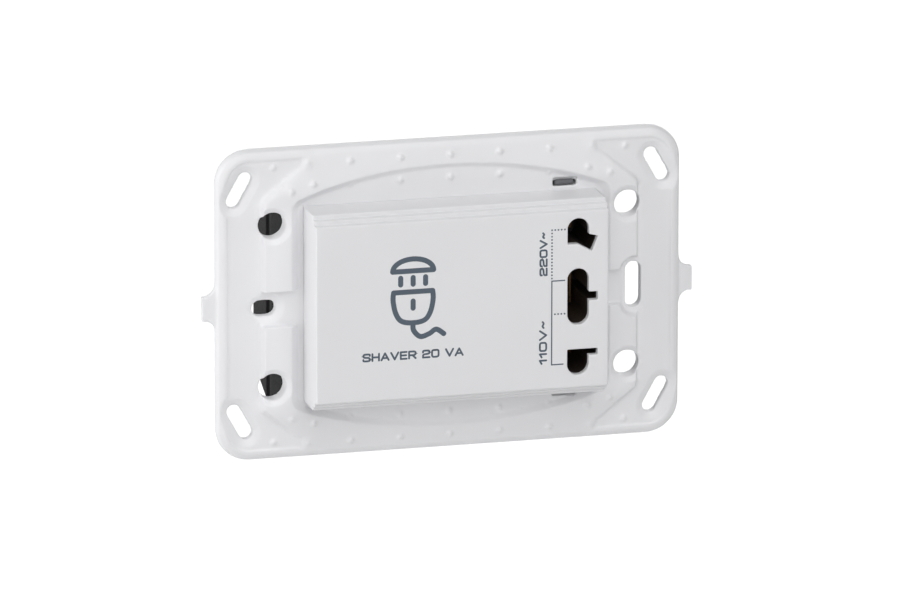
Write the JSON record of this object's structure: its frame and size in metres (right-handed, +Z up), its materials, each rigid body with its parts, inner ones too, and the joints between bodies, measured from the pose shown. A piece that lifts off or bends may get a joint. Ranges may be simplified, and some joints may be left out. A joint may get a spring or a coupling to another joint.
{
  "type": "shaver socket",
  "caption": "Flush shaver socket: white fixing frame with slots and clipped stepped cover with pin apertures, black isolating transformer housing behind.",
  "frame": {"origin": "centre of the four round fixing holes, on the wall plane at the frame's back", "axes": "+X to the right of someone facing the socket, +Y into the wall, +Z up"},
  "size_m": [0.111, 0.0533, 0.07],
  "materials": {
    "white_plastic": "fine satin moulding",
    "cover_plastic": "semi-gloss moulding",
    "carrier_plastic": "matt moulding",
    "black_plastic": "fine textured moulding",
    "spring_bronze": "rolled strip",
    "core_steel": "stamped laminations",
    "plated_steel": "zinc plated",
    "bobbin_plastic": "natural nylon",
    "winding_copper": "enamelled wire",
    "cutout_plastic": "moulded",
    "terminal_brass": "machined",
    "lead_insulation": "sleeved wire"
  },
  "bodies": {
    "root": {"fixing_frame": "white_plastic", "front_cover": "cover_plastic", "contact_carrier": "carrier_plastic", "upper_contact": "spring_bronze", "common_contact": "spring_bronze", "lower_contact": "spring_bronze", "rear_housing": "black_plastic", "rear_cover": "black_plastic", "core_e_stack": "core_steel", "core_i_stack": "core_steel", "core_clamp": "plated_steel", "bobbin": "bobbin_plastic", "primary_winding": "winding_copper", "secondary_winding": "winding_copper", "thermal_cutout": "cutout_plastic", "terminal_block": "bobbin_plastic", "terminal_clamps": "terminal_brass", "terminal_screws": "plated_steel", "cover_screws": "plated_steel", "primary_leads": "lead_insulation", "secondary_leads": "lead_insulation"}
  },
  "joints": []
}
